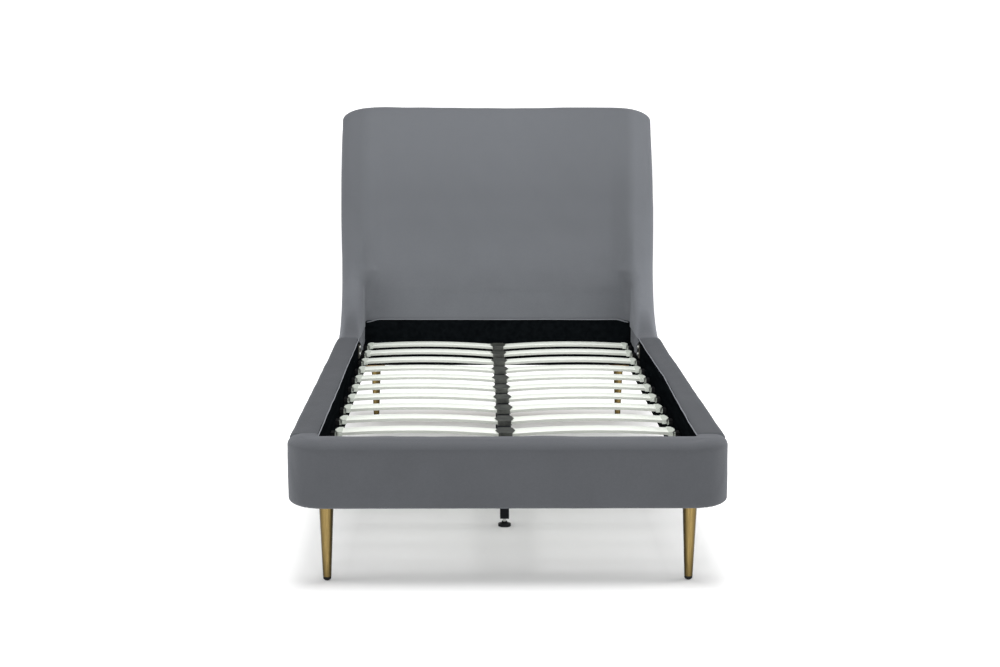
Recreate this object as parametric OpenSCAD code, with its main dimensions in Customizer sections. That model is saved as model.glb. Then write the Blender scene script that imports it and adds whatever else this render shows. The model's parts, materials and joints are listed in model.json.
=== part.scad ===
// Twin platform bed with a winged sleigh headboard: timber boards under padded
// fabric covers, sprung slats on a steel centre beam, tapered metal legs.
// Frame: X across, +Y to the head, +Z up, origin on the floor under the middle.

/* [Overall] */
// Outer width over the padded side rails
bed_w = 1150; // [1130:1:1180]
// Clear width between the side rails
inner_w = 990; // [980:1:1000]
// Clear length from foot rail to head panel
inner_l = 1925; // [1905:1:1960]
// Overall height of the headboard
head_h = 1176; // [1140:1:1220]
// Height of the frame's underside above the floor
leg_h = 203; // [190:1:215]
// Height of the side rails and the foot rail
rail_h = 171; // [165:1:180]

/* [Upholstery] */
// Depth of the foot rail, front to back
foot_t = 105; // [100:1:115]
// Plan radius of the foot rail's outer corners
foot_r = 108; // [95:1:110]
// Depth of the headboard behind the head panel's face
head_t = 145; // [140:1:155]
// Reach of the wings in front of the head panel's face
wing_reach = 330; // [300:1:360]
// How far the wings stand proud of the headboard at mid height
wing_proud = 62; // [50:1:75]
// Thickness of the padded covers over the boards' top edges
lip_t = 6; // [4:1:8]

/* [Boards] */
// Thickness of the inner rail boards
board_t = 25; // [20:1:28]
// Thickness of the black head panel
panel_t = 18; // [15:1:22]
// Thickness of the wing boards
wing_board_t = 18; // [15:1:20]

/* [Slats] */
// Number of slat rows
rows = 12; // [10:1:12]
// Distance from each end panel to the first slat's middle
row_margin = 60; // [50:1:70]
// Slat width
slat_w = 64; // [60:1:68]
// Slat thickness
slat_t = 9; // [8:0.5:10]
// Rise of a slat's middle over its ends
slat_crown = 9; // [7:1:13]
// How much lower the centre caps hold the slats than the side holders do
centre_drop = 4; // [0:1:6]
// Width of the steel centre beam
beam_w = 38; // [36:1:44]
// Height of the steel centre beam
beam_h = 30; // [28:1:30]

/* [Legs] */
// Diameter at the top of a corner leg
leg_top_d = 38; // [34:1:40]
// Diameter at the bottom of a corner leg
leg_end_d = 22; // [21:1:24]
// Distance between the front legs' axes
front_leg_gap = 944; // [930:1:950]
// Distance between the rear legs' axes
rear_leg_gap = 923; // [910:1:930]
// Side of the square centre leg tube
centre_leg_w = 26; // [25:1:30]
// Diameter of a levelling foot's pad
pad_d = 37; // [32:1:40]

/* [Hidden] */
$fn = 64;
half_w = bed_w / 2;
half_in = inner_w / 2;
side_t = half_w - half_in;
bed_l = foot_t + inner_l + head_t;
y_front = -bed_l / 2;
y_foot = y_front + foot_t;
y_head = y_foot + inner_l;
y_back = y_head + head_t;
z_rail = leg_h + rail_h;
z_board = z_rail - lip_t;
return_l = 30;
y_return = y_foot + return_l;
y_wing = y_head - wing_reach;
z_hem = z_rail + 12;

// Upholstery curves
rail_top_r = 20;
rail_low_r = 12;
head_corner_r = 40;
curve_steps = 14;
arc_steps = 8;

// Headboard layers, measured back from the head panel's face
ply_y = 60;
ply_t = 12;
back_t = 8;
frame_top = head_h - 66;
post_w = 70;
cross_h = 60;
// Hairline between pieces that share a node, so that each stays a solid of its own
glue_gap = 0.4;

// Slat plane
ledge_w = 16;
ledge_h = 30;
slat_z = leg_h + 95.5;
cap_z = slat_z - centre_drop;
beam_top = cap_z - 6.5;
ledge_top = slat_z - 12.5;
slat_in = 7;
slat_out = half_in - 22;
slat_half = (slat_out - slat_in) / 2;
slat_mid = (slat_out + slat_in) / 2;
slat_r = (slat_half * slat_half + slat_crown * slat_crown) / (2 * slat_crown);
row_pitch = (inner_l - 2 * row_margin) / (rows - 1);
holder_w = slat_w + 10;
pocket_floor = 4.7;
cap_half = 28;
cap_end = 19;
tube_wall = 1.5;
beam_gap = 4;

// Centre legs stand in the middle of the gaps after rows 3, 6 and 9
centre_rows = [9, 6, 3];
tube_low = 24;
pad_h = 7;
neck_h = 14;
stem_r = 5;
stem_h = 60;
plug_h = 20;
running_gap = 0.05;

// Corner legs
glide_h = 11;
leg_wall = 1.5;
stud_r = 4;
stud_h = 32;
front_leg_y = y_front + 54.5;
rear_leg_y = y_head + 95;

// Brackets and screws
plate_t = 3;
plate_h = 48;
plate_l = 110;
flange_l = 45;
plate_low = z_board - 60;
screw_r = 3;
screw_head_r = 6.5;
screw_head_h = 3.5;
screw_l = 18;
bolt_r = 4;
bolt_head_r = 7;
bolt_head_h = 4;

SLAT_NODES = [for (side = ["left", "right"], i = [1 : rows])
    str("slat_", side, "_", i < 10 ? "0" : "", i)];
STEM_NODES = [for (i = [1 : 3]) str("levelling_stem_", i)];
PAD_NODES = [for (i = [1 : 3]) str("levelling_pad_", i)];

// Point on a cubic curve with end points a, d and handles b, c
function curve_at(a, b, c, d, t) =
    pow(1 - t, 3) * a + 3 * pow(1 - t, 2) * t * b + 3 * (1 - t) * t * t * c + t * t * t * d;
function curve(a, b, c, d) =
    [for (i = [0 : curve_steps]) curve_at(a, b, c, d, i / curve_steps)];
// Arc about centre c from angle a0 to a1
function arc(c, r, a0, a1) =
    [for (i = [0 : arc_steps]) let(a = a0 + (a1 - a0) * i / arc_steps)
        [c[0] + r * cos(a), c[1] + r * sin(a)]];
function row_y(i) = y_head - row_margin - row_pitch * (i - 1);
function centre_leg_y(i) = row_y(centre_rows[i - 1] + 0.5);

// Side profile points, as [distance behind the head panel's face, height]
roll_start = [0, head_h - 166];
roll_top = [108, head_h];
back_top_r = 37;
function roll() = curve(roll_start, [20, head_h - 126], [60, head_h], roll_top);
function back_corner() = arc([head_t - back_top_r, head_h - back_top_r], back_top_r, 90, 0);
function wing_sweep() = curve([-wing_reach, z_rail], [-190, z_rail + 6],
    [-wing_proud - 10, z_rail + 96], [-wing_proud, z_rail + 236]);
function wing_rise() = curve([-wing_proud, z_rail + 236], [-wing_proud + 4, head_h - 416],
    [-wing_proud + 14, head_h - 266], roll_start);

function wing_outline() = concat([[-wing_reach, leg_h]], wing_sweep(), wing_rise(),
    roll(), back_corner(), [[head_t, leg_h]]);
function centre_outline() = concat([[0, z_hem]], roll(), back_corner(),
    [[head_t, frame_top], [ply_y, frame_top], [ply_y, z_hem]]);
// The wing board follows the wing's front, set in by its padding
board_inset = 24;
board_drop = [board_inset, -board_inset];
function wing_board_outline() = concat(
    [[-wing_reach, leg_h], [-wing_reach, z_rail - board_inset]],
    [for (p = wing_sweep()) if (p[0] > -wing_reach + 1) p + board_drop],
    [for (p = wing_rise()) if (p[1] < frame_top - 40) p + board_drop],
    [[ply_y, frame_top], [head_t - back_t, frame_top], [head_t - back_t, leg_h]]);

// Extrudes a [y, z] outline along X, from x0 to x1, with y counted from y_ref
module side_extrude(outline, x0, x1, y_ref = 0) {
    translate([x0, y_ref, 0]) rotate([90, 0, 90]) linear_extrude(x1 - x0) polygon(outline);
}

module box(x0, x1, y0, y1, z0, z1) {
    translate([x0, y0, z0]) cube([x1 - x0, y1 - y0, z1 - z0]);
}

module mirror_x(side) {
    if (side < 0) mirror([1, 0, 0]) children(); else children();
}

// Front view of the headboard with its rounded top corners
module head_front() {
    translate([0, y_back + 1, 0]) rotate([90, 0, 0]) linear_extrude(wing_reach + head_t + 2)
        polygon(concat(
            [[-half_w, leg_h], [half_w, leg_h]],
            arc([half_w - head_corner_r, head_h - head_corner_r], head_corner_r, 0, 90),
            arc([-half_w + head_corner_r, head_h - head_corner_r], head_corner_r, 90, 180)));
}

module headboard_pad() {
    color("slategray") side_extrude(centre_outline(), -half_in, half_in, y_head);
}

module headboard_back() {
    color("dimgray")
        box(-half_in, half_in, y_back - back_t, y_back, leg_h, frame_top);
}

// Two posts, three cross rails and the plywood front, as separate timber pieces
module headboard_frame() {
    y_cross = y_head + ply_y + ply_t + glue_gap;
    y_rear = y_back - back_t;
    x_cross = half_in - post_w - glue_gap;
    color("burlywood") {
        for (side = [-1, 1]) mirror_x(side) {
            difference() {
                union() {
                    box(half_in - post_w, half_in, y_head + panel_t, y_rear, leg_h, z_hem);
                    box(half_in - post_w, half_in, y_cross, y_rear, z_hem, frame_top);
                }
                translate([rear_leg_gap / 2, rear_leg_y, 0]) insert_body();
            }
        }
        for (z = [leg_h, z_hem + 280, frame_top - cross_h])
            box(-x_cross, x_cross, y_cross, y_rear, z, z + cross_h);
        box(-half_in, half_in, y_head + ply_y, y_cross - glue_gap, z_hem + glue_gap, frame_top);
    }
}

module head_panel() {
    color("#14191b") box(-half_in, half_in, y_head, y_head + panel_t, leg_h + 12, z_hem);
}

module wing_board_shape() {
    difference() {
        union() {
            side_extrude(wing_board_outline(), half_in + board_t,
                half_in + board_t + wing_board_t, y_head);
            box(half_in, half_in + board_t, y_wing, y_back - back_t, leg_h, z_board);
        }
        head_joint_screws();
    }
}

module wing_board(side) {
    color("#1b1e20") mirror_x(side) wing_board_shape();
}

module wing_pad(side) {
    color("slategray") mirror_x(side) difference() {
        intersection() {
            side_extrude(wing_outline(), half_in, half_w, y_head);
            head_front();
        }
        side_extrude(wing_board_outline(), half_in + board_t,
            half_in + board_t + wing_board_t, y_head);
        box(half_in - 1, half_in + board_t, y_wing - 1, y_back - back_t, leg_h - 1, z_board);
    }
}

module side_rail_board(side) {
    color("#1b1e20") mirror_x(side) difference() {
        box(half_in, half_in + board_t, y_foot, y_wing, leg_h, z_board);
        head_joint_screws();
        foot_joint_screws();
    }
}

// Section of a rail's padded side, as [x, z]
function rail_section() = concat(
    [[half_in, z_board], [half_in + board_t, z_board], [half_in + board_t, leg_h]],
    arc([half_w - rail_low_r, leg_h + rail_low_r], rail_low_r, -90, 0),
    arc([half_w - rail_top_r, z_rail - rail_top_r], rail_top_r, 0, 90),
    [[half_in, z_rail]]);

module rail_padding(y0, y1) {
    translate([0, y1, 0]) rotate([90, 0, 0]) linear_extrude(y1 - y0) polygon(rail_section());
}

module side_rail_pad(side) {
    color("slategray") mirror_x(side) rail_padding(y_return, y_wing);
}

module foot_frame_shape() {
    y_block = y_foot - board_t;
    union() {
        box(-half_in - board_t, half_in + board_t, y_block, y_foot, leg_h, z_board);
        for (side = [-1, 1]) mirror_x(side)
            box(half_in - 65, half_in + 20, y_front + 28, y_block, leg_h, z_board);
    }
}

module foot_rail_frame() {
    color("#1b1e20") difference() {
        foot_frame_shape();
        for (side = [-1, 1]) mirror_x(side) {
            foot_joint_screws();
            translate([front_leg_gap / 2, front_leg_y, 0]) insert_body();
        }
    }
}

// Plan of the foot rail, rounded at its outer corners
function foot_plan() = concat(
    [[half_w, y_foot], [-half_w, y_foot]],
    arc([-half_w + foot_r, y_front + foot_r], foot_r, 180, 270),
    arc([half_w - foot_r, y_front + foot_r], foot_r, 270, 360));
function foot_side() = concat(
    [[foot_t, z_rail], [foot_t, leg_h]],
    arc([rail_low_r, leg_h + rail_low_r], rail_low_r, 270, 180),
    arc([rail_top_r, z_rail - rail_top_r], rail_top_r, 180, 90));

module foot_rail_pad() {
    color("slategray") {
        difference() {
            union() {
                intersection() {
                    translate([0, 0, leg_h]) linear_extrude(rail_h) polygon(foot_plan());
                    side_extrude(foot_side(), -half_w, half_w, y_front);
                }
                for (side = [-1, 1]) mirror_x(side) rail_padding(y_foot, y_return);
            }
            foot_frame_shape();
        }
    }
}

// Battens that carry the slat holders, cut where the side rail meets the wing
module slat_ledge(side) {
    end_gap = plate_t + 2;
    color("#202426") mirror_x(side) {
        box(half_in - ledge_w, half_in, y_foot + end_gap, y_wing, ledge_top - ledge_h, ledge_top);
        box(half_in - ledge_w, half_in, y_wing + glue_gap, y_head - end_gap,
            ledge_top - ledge_h, ledge_top);
    }
}

// Thin pointed pocket round a slat's outer end, on a foot block over the ledge
module slat_holder(y) {
    half = slat_w / 2 + 2;
    low = slat_z - pocket_floor - 1.5;
    difference() {
        union() {
            translate([0, y, low]) linear_extrude(slat_z + 7.2 - low)
                polygon([[half_in - 34, -half], [half_in - 21, -half], [half_in - 15, -half / 2],
                    [half_in - 12, 0], [half_in - 15, half / 2], [half_in - 21, half],
                    [half_in - 34, half]]);
            box(half_in - 17, half_in, y - 16, y + 16, ledge_top, slat_z + 1);
        }
        box(half_in - 35, slat_out + 0.6, y - slat_w / 2 - 0.3, y + slat_w / 2 + 0.3,
            slat_z - pocket_floor, slat_z + 6);
    }
}

module slat_holders(side) {
    color("#8d9090") mirror_x(side) for (i = [1 : rows]) slat_holder(row_y(i));
}

// Double pocket that joins a row's two slats over the beam
module centre_cap(y) {
    half = holder_w / 2;
    difference() {
        translate([0, y, beam_top]) linear_extrude(cap_z + 9 - beam_top)
            polygon([[-cap_end, -half], [cap_end, -half], [cap_half, 0], [cap_end, half],
                [-cap_end, half], [-cap_half, 0]]);
        for (side = [-1, 1]) mirror_x(side)
            box(slat_in - 1, cap_half + 1, y - slat_w / 2 - 0.3, y + slat_w / 2 + 0.3,
                cap_z - pocket_floor, cap_z + 7.4);
    }
}

module centre_slat_caps() {
    color("#5a5d57") for (i = [1 : rows]) centre_cap(row_y(i));
}

module centre_beam() {
    low = beam_top - beam_h;
    color("#17191b") difference() {
        box(-beam_w / 2, beam_w / 2, y_foot + beam_gap, y_head - beam_gap, low, beam_top);
        box(-beam_w / 2 + 2, beam_w / 2 - 2, y_foot, y_head, low + 2, beam_top - 2);
        for (i = [1 : 3]) translate([0, centre_leg_y(i), low - 1])
            cylinder(h = beam_h + 2, r = bolt_r);
    }
}

// Open steel cradle under one end of the beam, fixed to the panel at y
module beam_bracket(y, dir) {
    low = beam_top - beam_h;
    wide = beam_w / 2 + plate_t;
    y_plate = min(y, y + dir * plate_t);
    y_seat = min(y, y + dir * 40);
    box(-wide - 22, wide + 22, y_plate, y_plate + plate_t, low - plate_t, beam_top);
    box(-wide, wide, y_seat, y_seat + 40, low - plate_t, low);
    for (side = [-1, 1]) mirror_x(side)
        box(beam_w / 2, wide, y_seat, y_seat + 40, low - 1, beam_top - 4);
}

module beam_brackets() {
    color("#2a2d30") {
        beam_bracket(y_head, -1);
        beam_bracket(y_foot, 1);
    }
}

// Screw positions on the plates, as [y, z]
function screw_heights() = [plate_low + 12, plate_low + plate_h - 12];
function head_joint_ys() = [y_wing - 30, y_wing + 30];
function foot_joint_ys() = [y_foot + 30];

module screw_x(y, z) {
    translate([half_in - plate_t, y, z]) rotate([0, 90, 0]) cylinder(h = screw_l, r = screw_r);
}

module head_joint_screws() {
    for (y = head_joint_ys(), z = screw_heights()) screw_x(y, z);
}

module foot_joint_screws() {
    for (z = screw_heights()) {
        for (y = foot_joint_ys()) screw_x(y, z);
        translate([half_in - 30, y_foot + plate_t, z]) rotate([90, 0, 0])
            cylinder(h = screw_l, r = screw_r);
    }
}

module joint_plates() {
    x0 = half_in - plate_t;
    difference() {
        box(x0, half_in, y_wing - plate_l / 2, y_wing + plate_l / 2, plate_low,
            plate_low + plate_h);
        head_joint_screws();
    }
    difference() {
        union() {
            box(x0, half_in, y_foot, y_foot + flange_l, plate_low, plate_low + plate_h);
            box(half_in - flange_l, half_in, y_foot, y_foot + plate_t, plate_low,
                plate_low + plate_h);
        }
        foot_joint_screws();
    }
}

module rail_brackets() {
    color("#9a9c9e") for (side = [-1, 1]) mirror_x(side) joint_plates();
}

module screw_heads() {
    for (z = screw_heights()) {
        for (y = concat(head_joint_ys(), foot_joint_ys()))
            translate([half_in - plate_t - screw_head_h, y, z]) rotate([0, 90, 0])
                cylinder(h = screw_head_h, r = screw_head_r);
        translate([half_in - 30, y_foot + plate_t + screw_head_h, z]) rotate([90, 0, 0])
            cylinder(h = screw_head_h, r = screw_head_r);
    }
}

module centre_leg_bolt(y) {
    translate([0, y, beam_top]) cylinder(h = bolt_head_h, r = bolt_head_r);
    translate([0, y, beam_top - beam_h - plate_t]) cylinder(h = beam_h + plate_t, r = bolt_r);
}

// Joint screws and centre leg bolts, drawn without their threads
module frame_bolts() {
    color("#b9bbbd") {
        for (side = [-1, 1]) mirror_x(side) {
            screw_heads();
            head_joint_screws();
            foot_joint_screws();
        }
        for (i = [1 : 3]) centre_leg_bolt(centre_leg_y(i));
    }
}

// Where the insert nut sits in a timber block over a corner leg
module insert_body() {
    translate([0, 0, leg_h]) cylinder(h = stud_h + 2, r = stud_r + 3);
}

module corner_leg(x, y) {
    color("#97855a") translate([x, y, 0]) union() {
        difference() {
            translate([0, 0, glide_h])
                cylinder(h = leg_h - glide_h, d1 = leg_end_d, d2 = leg_top_d);
            translate([0, 0, glide_h - 0.01])
                cylinder(h = leg_h - glide_h - 4, d1 = leg_end_d - 2 * leg_wall,
                    d2 = leg_top_d - 2 * leg_wall - 1);
        }
        translate([0, 0, leg_h - 2]) cylinder(h = stud_h + 2, r = stud_r);
    }
}

module at_corner_legs() {
    for (side = [-1, 1]) {
        translate([side * front_leg_gap / 2, front_leg_y, 0]) children();
        translate([side * rear_leg_gap / 2, rear_leg_y, 0]) children();
    }
}

module leg_glides() {
    plug_r = leg_end_d / 2 - leg_wall - 0.2;
    color("#121212") at_corner_legs() {
        intersection() {
            cylinder(h = glide_h, d = leg_end_d - 1);
            translate([0, 0, 12]) sphere(r = 12.5);
        }
        translate([0, 0, glide_h - 0.5]) cylinder(h = 10, r = plug_r);
    }
}

module leg_inserts() {
    color("#a8a08a") at_corner_legs() difference() {
        insert_body();
        translate([0, 0, leg_h - 1]) cylinder(h = stud_h + 2, r = stud_r + running_gap);
    }
}

module centre_leg(y) {
    half = centre_leg_w / 2;
    bore = half - tube_wall;
    top = beam_top - beam_h - plate_t;
    difference() {
        union() {
            box(-half, half, y - half, y + half, tube_low, top + 1);
            box(-beam_w / 2, beam_w / 2, y - 35, y + 35, top, top + plate_t);
        }
        box(-bore, bore, y - bore, y + bore, tube_low - 1, top);
        translate([0, y, top - 1]) cylinder(h = plate_t + 2, r = bolt_r);
    }
    // Threaded end plug that guides the levelling foot's stem
    difference() {
        box(-bore, bore, y - bore, y + bore, tube_low, tube_low + plug_h);
        translate([0, y, tube_low - 1]) cylinder(h = plug_h + 2, r = stem_r + running_gap);
    }
}

module centre_legs() {
    color("#17191b") for (i = [1 : 3]) centre_leg(centre_leg_y(i));
}

module levelling_stem(i) {
    color("#b9bbbd") translate([0, centre_leg_y(i), neck_h]) cylinder(h = stem_h, r = stem_r);
}

module levelling_pad(i) {
    color("#16181a") translate([0, centre_leg_y(i), 0]) {
        cylinder(h = pad_h, d = pad_d);
        translate([0, 0, pad_h]) cylinder(h = 3, d1 = pad_d - 8, d2 = 17);
        translate([0, 0, pad_h]) cylinder(h = neck_h - pad_h, d = 16);
    }
}

// One arched slat, an exact ring sector that slopes from the holder to the centre cap
module slat(side, i) {
    color("#e8ece6") mirror_x(side) translate([slat_mid, row_y(i) + slat_w / 2, 0])
        rotate([90, 0, 0]) linear_extrude(slat_w)
        translate([slat_half, slat_z]) rotate(asin(centre_drop / (2 * slat_half)))
        translate([-slat_half, -slat_z]) intersection() {
            translate([0, slat_z + slat_crown - slat_r]) difference() {
                circle(r = slat_r + slat_t / 2, $fn = 256);
                circle(r = slat_r - slat_t / 2, $fn = 256);
            }
            translate([-slat_half, slat_z - slat_t]) square([2 * slat_half, 2 * slat_t + slat_crown]);
        }
}

headboard_frame();
headboard_pad();
headboard_back();
head_panel();
wing_board(-1);  // wing_board_left
wing_board(1);  // wing_board_right
wing_pad(-1);  // wing_pad_left
wing_pad(1);  // wing_pad_right
side_rail_board(-1);  // side_rail_board_left
side_rail_board(1);  // side_rail_board_right
side_rail_pad(-1);  // side_rail_pad_left
side_rail_pad(1);  // side_rail_pad_right
foot_rail_frame();
foot_rail_pad();
slat_ledge(-1);  // slat_ledge_left
slat_ledge(1);  // slat_ledge_right
slat_holders(-1);  // slat_holders_left
slat_holders(1);  // slat_holders_right
centre_slat_caps();
centre_beam();
beam_brackets();
rail_brackets();
frame_bolts();
corner_leg(-front_leg_gap / 2, front_leg_y);  // leg_front_left
corner_leg(front_leg_gap / 2, front_leg_y);  // leg_front_right
corner_leg(-rear_leg_gap / 2, rear_leg_y);  // leg_rear_left
corner_leg(rear_leg_gap / 2, rear_leg_y);  // leg_rear_right
leg_glides();
leg_inserts();
centre_legs();
for (i = [1 : 3]) levelling_stem(i);
for (i = [1 : 3]) levelling_pad(i);
for (i = [1 : rows]) slat(-1, i);
for (i = [1 : rows]) slat(1, i);
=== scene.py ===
import json
import math

import bpy
import numpy as np
from mathutils import Euler, Matrix, Vector


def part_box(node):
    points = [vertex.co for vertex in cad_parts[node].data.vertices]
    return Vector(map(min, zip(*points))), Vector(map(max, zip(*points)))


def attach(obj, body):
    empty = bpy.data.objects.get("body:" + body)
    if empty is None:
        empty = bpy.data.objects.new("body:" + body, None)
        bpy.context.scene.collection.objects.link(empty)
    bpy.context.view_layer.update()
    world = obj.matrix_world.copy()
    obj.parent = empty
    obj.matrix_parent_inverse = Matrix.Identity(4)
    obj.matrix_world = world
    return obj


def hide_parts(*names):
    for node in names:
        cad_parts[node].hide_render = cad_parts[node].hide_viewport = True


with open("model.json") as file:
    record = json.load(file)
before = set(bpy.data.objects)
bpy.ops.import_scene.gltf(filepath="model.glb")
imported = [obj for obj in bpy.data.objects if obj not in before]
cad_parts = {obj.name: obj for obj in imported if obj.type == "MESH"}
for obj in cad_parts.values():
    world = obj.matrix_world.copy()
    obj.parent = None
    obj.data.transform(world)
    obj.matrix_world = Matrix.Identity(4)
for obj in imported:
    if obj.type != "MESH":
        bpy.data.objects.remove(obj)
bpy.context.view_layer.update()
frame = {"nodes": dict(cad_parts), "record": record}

# ---------------------------------------------------------------- places, from the frame
X_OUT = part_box("wing_pad_right")[1].x           # outer face of rails and wings
X_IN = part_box("head_panel")[1].x                # inner face of the side boards
X_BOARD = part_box("side_rail_board_right")[1].x  # outer face of the side boards
Y_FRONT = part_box("foot_rail_pad")[0].y          # front of the foot rail
Y_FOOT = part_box("foot_rail_frame")[1].y         # inner face of the foot rail
Y_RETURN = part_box("side_rail_pad_left")[0].y    # seam of foot rail and side rail
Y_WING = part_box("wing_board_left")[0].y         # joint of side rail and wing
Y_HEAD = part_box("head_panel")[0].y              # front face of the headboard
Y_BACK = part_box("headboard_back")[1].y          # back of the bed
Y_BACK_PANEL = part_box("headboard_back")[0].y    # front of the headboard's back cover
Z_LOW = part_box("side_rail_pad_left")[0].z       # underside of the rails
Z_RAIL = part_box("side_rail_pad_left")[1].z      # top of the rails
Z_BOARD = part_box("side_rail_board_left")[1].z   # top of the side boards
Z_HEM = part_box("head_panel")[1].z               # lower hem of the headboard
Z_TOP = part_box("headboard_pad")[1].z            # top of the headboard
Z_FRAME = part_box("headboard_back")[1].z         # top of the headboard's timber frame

# ---------------------------------------------------------------- sizes of the covers, in metres
WING_REACH = Y_HEAD - Y_WING    # how far the wings run along the rails
WING_PROUD = 0.062              # how far they stand before the face where they are fullest
HEAD_T = Y_BACK - Y_HEAD        # thickness of the headboard
BOARD_T = X_BOARD - X_IN        # thickness of the boards
FOAM = 0.060                    # headboard foam in front of the plywood
FOOT_R = 0.108                  # radius of the foot rail's corners
UNDER = 0.0005                  # how far the covers stop above the boards' undersides
LIP = 0.012                     # how far the covers reach down beside the boards' top edges
SHORT = 0.0005                  # how far they stop short of the boards' inner faces
GAP = 0.0012                    # half the seam between foot rail and side rail
BEAD = 0.0016                   # radius of the rails' hems
HEAD_BEAD = 0.0019              # radius of the headboard's hem
RAIL_SOFT = (0.008, 0.036)      # depth and width of the slope along the rails' inner top edges
RAIL_BOW = 0.0065               # how far the right rail's inner edge is drawn outwards
HEAD_SWELL = 0.024              # how far the headboard's foam swells forward
TOP_SAG = 0.003                 # how far its top edge sags in the middle
HEM_DIP = 0.009                 # how far its hem dips at each end
RAIL_FULL = 0.002               # most that the rails' covers swell as cloth
HEAD_FULL = 0.003               # most that the headboard's cover swells as cloth
# how much smaller the headboard's and side rails' covers start where their cloth is simulated
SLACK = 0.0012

# ---------------------------------------------------------------- settings
TABLE_STEP = 0.003     # grid of an outline's table of distances
TABLE_EDGE = 0.10      # how far that table goes beyond the outline
NET_EXTRA = 0.012      # how far a cover's grid goes beyond its box
NET_POLISH = 3         # times that a cover's points are moved on to its surface
NET_MOVE = 0.004       # most that they move each time
SLOPE_STEP = 0.0015    # how far to each side of a point a field is read for its slope
FULL_TURN = 6.283      # in radians
CLOTH_STEPS = 20       # frames that the cloth simulation runs for
CLOTH_PRESSURE = 4     # pressure inside the covers while it runs
EVEN_PASSES = 8        # times that the cloth's swelling is evened out


# ---------------------------------------------------------------- shape tools
def ramp(x, a, b):
    """0 at a, 1 at b, smooth between."""
    t = np.clip((x - a) / (b - a), 0.0, 1.0)
    return t * t * (3 - 2 * t)


def smax(a, b, r):
    """Both of two solids' distances, with their common edge rounded to radius r."""
    return np.minimum(np.maximum(a, b), -r) + np.hypot(np.maximum(a + r, 0), np.maximum(b + r, 0))


def smin(a, b, r):
    """Either of two solids' distances, with the corner between them filled to radius r."""
    return np.maximum(np.minimum(a, b), r) - np.hypot(np.maximum(r - a, 0), np.maximum(r - b, 0))


def oval_max(a, b, ra, rb):
    """As smax, with an edge that is ra deep along a and rb deep along b."""
    p = np.maximum(a + ra, 0) / ra
    q = np.maximum(b + rb, 0) / rb
    both = p * p + q * q
    size = (p * p * ra + q * q * rb) / np.maximum(both, 1e-12)
    return np.where(both > 0, (np.sqrt(both) - 1) * size, np.maximum(a, b))


def curve(a, b, c, d, steps=14):
    """Points of a cubic curve from a to d, drawn towards b and c."""
    t = np.linspace(0, 1, steps + 1)[:, None]
    a, b, c, d = (np.array(p, float) for p in (a, b, c, d))
    return (1 - t) ** 3 * a + 3 * (1 - t) ** 2 * t * b + 3 * (1 - t) * t * t * c + t ** 3 * d


def arc(centre, r, a0, a1, steps=8):
    """Points of a circle's arc, between two angles in degrees."""
    a = np.radians(np.linspace(a0, a1, steps + 1))[:, None]
    return np.array(centre) + r * np.hstack([np.cos(a), np.sin(a)])


class Outline:
    """Signed distance to a closed outline in one plane, negative inside, from a fine table."""

    def __init__(self, points):
        points = np.vstack(points)
        self.low = points.min(0) - TABLE_EDGE
        count = np.ceil((points.max(0) + TABLE_EDGE - self.low) / TABLE_STEP).astype(int) + 1
        axes = [self.low[i] + TABLE_STEP * np.arange(count[i]) for i in (0, 1)]
        u, v = np.meshgrid(*axes, indexing="ij")
        nearest = np.full(u.shape, np.inf)
        inside = np.zeros(u.shape, bool)
        for (u0, v0), (u1, v1) in zip(points, np.roll(points, -1, 0)):
            eu, ev = u1 - u0, v1 - v0
            if eu * eu + ev * ev < 1e-14:
                continue
            t = np.clip(((u - u0) * eu + (v - v0) * ev) / (eu * eu + ev * ev), 0, 1)
            nearest = np.minimum(nearest, np.hypot(u - u0 - eu * t, v - v0 - ev * t))
            if ev:
                spans = (np.minimum(v0, v1) <= v) & (v < np.maximum(v0, v1))
                inside ^= spans & (u < u0 + (v - v0) / ev * eu)
        self.table = np.where(inside, -nearest, nearest)

    def __call__(self, u, v):
        fu = np.clip((u - self.low[0]) / TABLE_STEP, 0, self.table.shape[0] - 1.001)
        fv = np.clip((v - self.low[1]) / TABLE_STEP, 0, self.table.shape[1] - 1.001)
        i, j = fu.astype(int), fv.astype(int)
        a, b = fu - i, fv - j
        t = self.table
        return ((1 - a) * ((1 - b) * t[i, j] + b * t[i, j + 1])
                + a * ((1 - b) * t[i + 1, j] + b * t[i + 1, j + 1]))


def slope(field, points):
    """The field's slope at each point, along x, y and z."""
    ways = SLOPE_STEP * np.eye(3)
    return np.stack([field(points + way) - field(points - way) for way in ways], -1) / (2 * SLOPE_STEP)


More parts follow.
